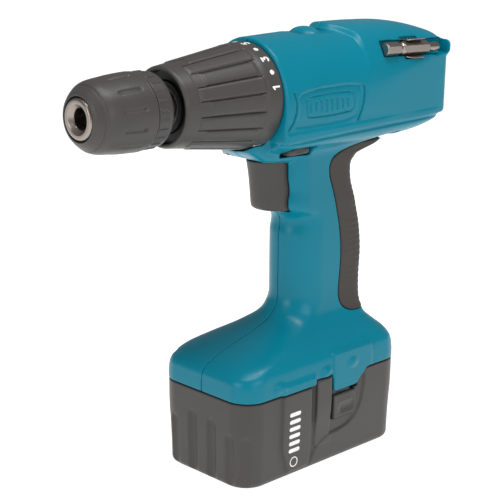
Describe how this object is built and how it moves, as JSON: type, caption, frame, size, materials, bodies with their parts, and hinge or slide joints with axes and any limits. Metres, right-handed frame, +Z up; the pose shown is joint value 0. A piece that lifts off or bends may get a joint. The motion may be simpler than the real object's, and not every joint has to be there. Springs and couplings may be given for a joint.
{
  "type": "cordless drill",
  "caption": "Pistol-grip cordless drill driver with keyless chuck, numbered torque collar, planetary gearbox, variable trigger and slide-off pod battery.",
  "frame": {"origin": "centre of the battery's flat base, which the drill stands on", "axes": "+X forward along the spindle, out of the chuck; +Y to the user's left; +Z up"},
  "size_m": [0.2331, 0.0684, 0.2281],
  "materials": {
    "teal_plastic": "satin moulded nylon",
    "dark_plastic": "fine moulded grain",
    "grip_rubber": "matt soft-touch",
    "black_plastic": "moulded",
    "bright_steel": "turned and polished",
    "dark_steel": "oiled",
    "gear_steel": "sintered",
    "gear_case_metal": "die cast",
    "brass": "bare",
    "copper": "enamelled",
    "magnet": "sintered",
    "cell_sleeve": "shrink sleeve",
    "wire_red": "insulation"
  },
  "bodies": {
    "drill": {"housing_left": "teal_plastic", "housing_right": "teal_plastic", "housing_screws": "dark_steel", "grip_pad": "grip_rubber", "gear_case": "gear_case_metal", "ring_gear_1": "gear_steel", "ring_gear_3": "gear_steel", "ball_bearings": "dark_steel", "clutch_balls": "bright_steel", "clutch_spring": "dark_steel", "motor_can": "dark_steel", "magnets": "magnet", "end_bell": "black_plastic", "brushes": "magnet", "trigger_spring": "bright_steel", "switch_body": "black_plastic", "heat_sink": "gear_case_metal", "wiring": "wire_red", "terminal_block": "black_plastic", "bit_clip": "bright_steel"},
    "rotor": {"armature": "gear_steel", "windings": "copper", "commutator": "copper", "motor_shaft": "bright_steel", "cooling_fan": "black_plastic", "pinion": "gear_steel"},
    "planet_1_a": {"planet_1_a": "gear_steel"},
    "planet_1_b": {"planet_1_b": "gear_steel"},
    "planet_1_c": {"planet_1_c": "gear_steel"},
    "carrier_stage": {"carrier_1": "gear_steel", "planets_2": "gear_steel", "carrier_2": "gear_steel"},
    "shift_ring": {"ring_gear_2": "gear_steel"},
    "planet_3_a": {"planet_3_a": "gear_steel"},
    "planet_3_b": {"planet_3_b": "gear_steel"},
    "planet_3_c": {"planet_3_c": "gear_steel"},
    "spindle": {"spindle": "dark_steel", "chuck_body": "dark_steel", "chuck_screw": "dark_steel", "nose_ring": "bright_steel", "rear_sleeve": "dark_plastic"},
    "chuck_sleeve": {"front_sleeve": "dark_plastic", "split_nut": "dark_steel"},
    "jaw_a": {"jaw_a": "dark_steel"},
    "jaw_b": {"jaw_b": "dark_steel"},
    "jaw_c": {"jaw_c": "dark_steel"},
    "collar": {"torque_collar": "dark_plastic"},
    "clutch_nut": {"clutch_nut": "brass"},
    "trigger": {"trigger": "dark_plastic"},
    "lever": {"reversing_lever": "dark_plastic"},
    "selector": {"speed_selector": "dark_plastic", "shift_fork": "dark_steel"},
    "spare_bit": {"spare_bit": "bright_steel"},
    "battery": {"battery_case": "dark_plastic", "battery_cover": "dark_plastic", "cells": "cell_sleeve", "battery_terminals": "brass", "latch_springs": "bright_steel"},
    "latch_left": {"latch_left": "dark_plastic"},
    "latch_right": {"latch_right": "dark_plastic"}
  },
  "joints": [
    {"name": "spindle_turn", "type": "hinge", "parent": "drill", "child": "spindle", "pos_m": [0, 0, 0.196], "axis": [1, 0, 0], "continuous": true},
    {"name": "rotor_spin", "type": "hinge", "parent": "drill", "child": "rotor", "pos_m": [0, 0, 0.196], "axis": [1, 0, 0], "continuous": true},
    {"name": "carrier_turn", "type": "hinge", "parent": "drill", "child": "carrier_stage", "pos_m": [0, 0, 0.196], "axis": [1, 0, 0], "continuous": true},
    {"name": "planet_1_a_spin", "type": "hinge", "parent": "carrier_stage", "child": "planet_1_a", "pos_m": [0, 0.01238, 0.196], "axis": [1, 0, 0], "continuous": true},
    {"name": "planet_1_b_spin", "type": "hinge", "parent": "carrier_stage", "child": "planet_1_b", "pos_m": [0, -0.00619, 0.20672], "axis": [1, 0, 0], "continuous": true},
    {"name": "planet_1_c_spin", "type": "hinge", "parent": "carrier_stage", "child": "planet_1_c", "pos_m": [0, -0.00619, 0.18528], "axis": [1, 0, 0], "continuous": true},
    {"name": "planet_3_a_spin", "type": "hinge", "parent": "spindle", "child": "planet_3_a", "pos_m": [0, 0.01238, 0.196], "axis": [1, 0, 0], "continuous": true},
    {"name": "planet_3_b_spin", "type": "hinge", "parent": "spindle", "child": "planet_3_b", "pos_m": [0, -0.00619, 0.20672], "axis": [1, 0, 0], "continuous": true},
    {"name": "planet_3_c_spin", "type": "hinge", "parent": "spindle", "child": "planet_3_c", "pos_m": [0, -0.00619, 0.18528], "axis": [1, 0, 0], "continuous": true},
    {"name": "speed_select", "type": "slide", "parent": "drill", "child": "selector", "axis": [1, 0, 0], "range_m": [0, 0.005]},
    {"name": "shift_ring_slide", "type": "slide", "parent": "carrier_stage", "child": "shift_ring", "axis": [1, 0, 0], "range_m": [-0.0001, 0.0051]},
    {"name": "chuck_tighten", "type": "hinge", "parent": "spindle", "child": "chuck_sleeve", "pos_m": [0.115, 0, 0.196], "axis": [-1, 0, 0], "range_deg": [0, 5760]},
    {"name": "jaw_a_slide", "type": "slide", "parent": "spindle", "child": "jaw_a", "axis": [0.9659, 0, -0.2588], "range_m": [0, 0.0176]},
    {"name": "jaw_b_slide", "type": "slide", "parent": "spindle", "child": "jaw_b", "axis": [0.9659, 0.2241, 0.1294], "range_m": [0, 0.0176]},
    {"name": "jaw_c_slide", "type": "slide", "parent": "spindle", "child": "jaw_c", "axis": [0.9659, -0.2241, 0.1294], "range_m": [0, 0.0176]},
    {"name": "torque_set", "type": "hinge", "parent": "drill", "child": "collar", "pos_m": [0.05, 0, 0.196], "axis": [1, 0, 0], "range_deg": [-240, 75]},
    {"name": "clutch_nut_slide", "type": "slide", "parent": "drill", "child": "clutch_nut", "axis": [1, 0, 0], "range_m": [-0.0048, 0.0016], "deforming": ["clutch_spring"]},
    {"name": "trigger_pull", "type": "slide", "parent": "drill", "child": "trigger", "axis": [-1, 0, 0], "range_m": [0, 0.006], "stiffness_N_per_m": 500, "springref_m": -0.006, "deforming": ["trigger_spring"]},
    {"name": "direction_lever", "type": "hinge", "parent": "drill", "child": "lever", "pos_m": [-0.008, 0, 0.1675], "axis": [0, 0, 1], "range_deg": [-8, 8]},
    {"name": "bit_pull", "type": "slide", "parent": "drill", "child": "spare_bit", "axis": [0, 1, 0], "range_m": [0, 0.012]},
    {"name": "battery_release", "type": "slide", "parent": "drill", "child": "battery", "axis": [0, 0, -1], "range_m": [0, 0.045]},
    {"name": "latch_left_press", "type": "slide", "parent": "battery", "child": "latch_left", "axis": [0, -1, 0], "range_m": [0, 0.0017], "stiffness_N_per_m": 3000, "springref_m": -0.002},
    {"name": "latch_right_press", "type": "slide", "parent": "battery", "child": "latch_right", "axis": [0, 1, 0], "range_m": [0, 0.0017], "stiffness_N_per_m": 3000, "springref_m": -0.002}
  ],
  "couplings": [
    {"joint": "rotor_spin", "follows": "spindle_turn", "ratio": 16.133},
    {"joint": "carrier_turn", "follows": "spindle_turn", "ratio": 3.6667},
    {"joint": "planet_1_a_spin", "follows": "spindle_turn", "ratio": -10.389},
    {"joint": "planet_1_b_spin", "follows": "spindle_turn", "ratio": -10.389},
    {"joint": "planet_1_c_spin", "follows": "spindle_turn", "ratio": -10.389},
    {"joint": "planet_3_a_spin", "follows": "spindle_turn", "ratio": -3.2},
    {"joint": "planet_3_b_spin", "follows": "spindle_turn", "ratio": -3.2},
    {"joint": "planet_3_c_spin", "follows": "spindle_turn", "ratio": -3.2},
    {"joint": "shift_ring_slide", "follows": "speed_select", "ratio": 1},
    {"joint": "jaw_a_slide", "follows": "chuck_tighten", "m_per_rad": 0.00017308},
    {"joint": "jaw_b_slide", "follows": "chuck_tighten", "m_per_rad": 0.00017308},
    {"joint": "jaw_c_slide", "follows": "chuck_tighten", "m_per_rad": 0.00017308},
    {"joint": "clutch_nut_slide", "follows": "torque_set", "m_per_rad": 0.0011}
  ]
}
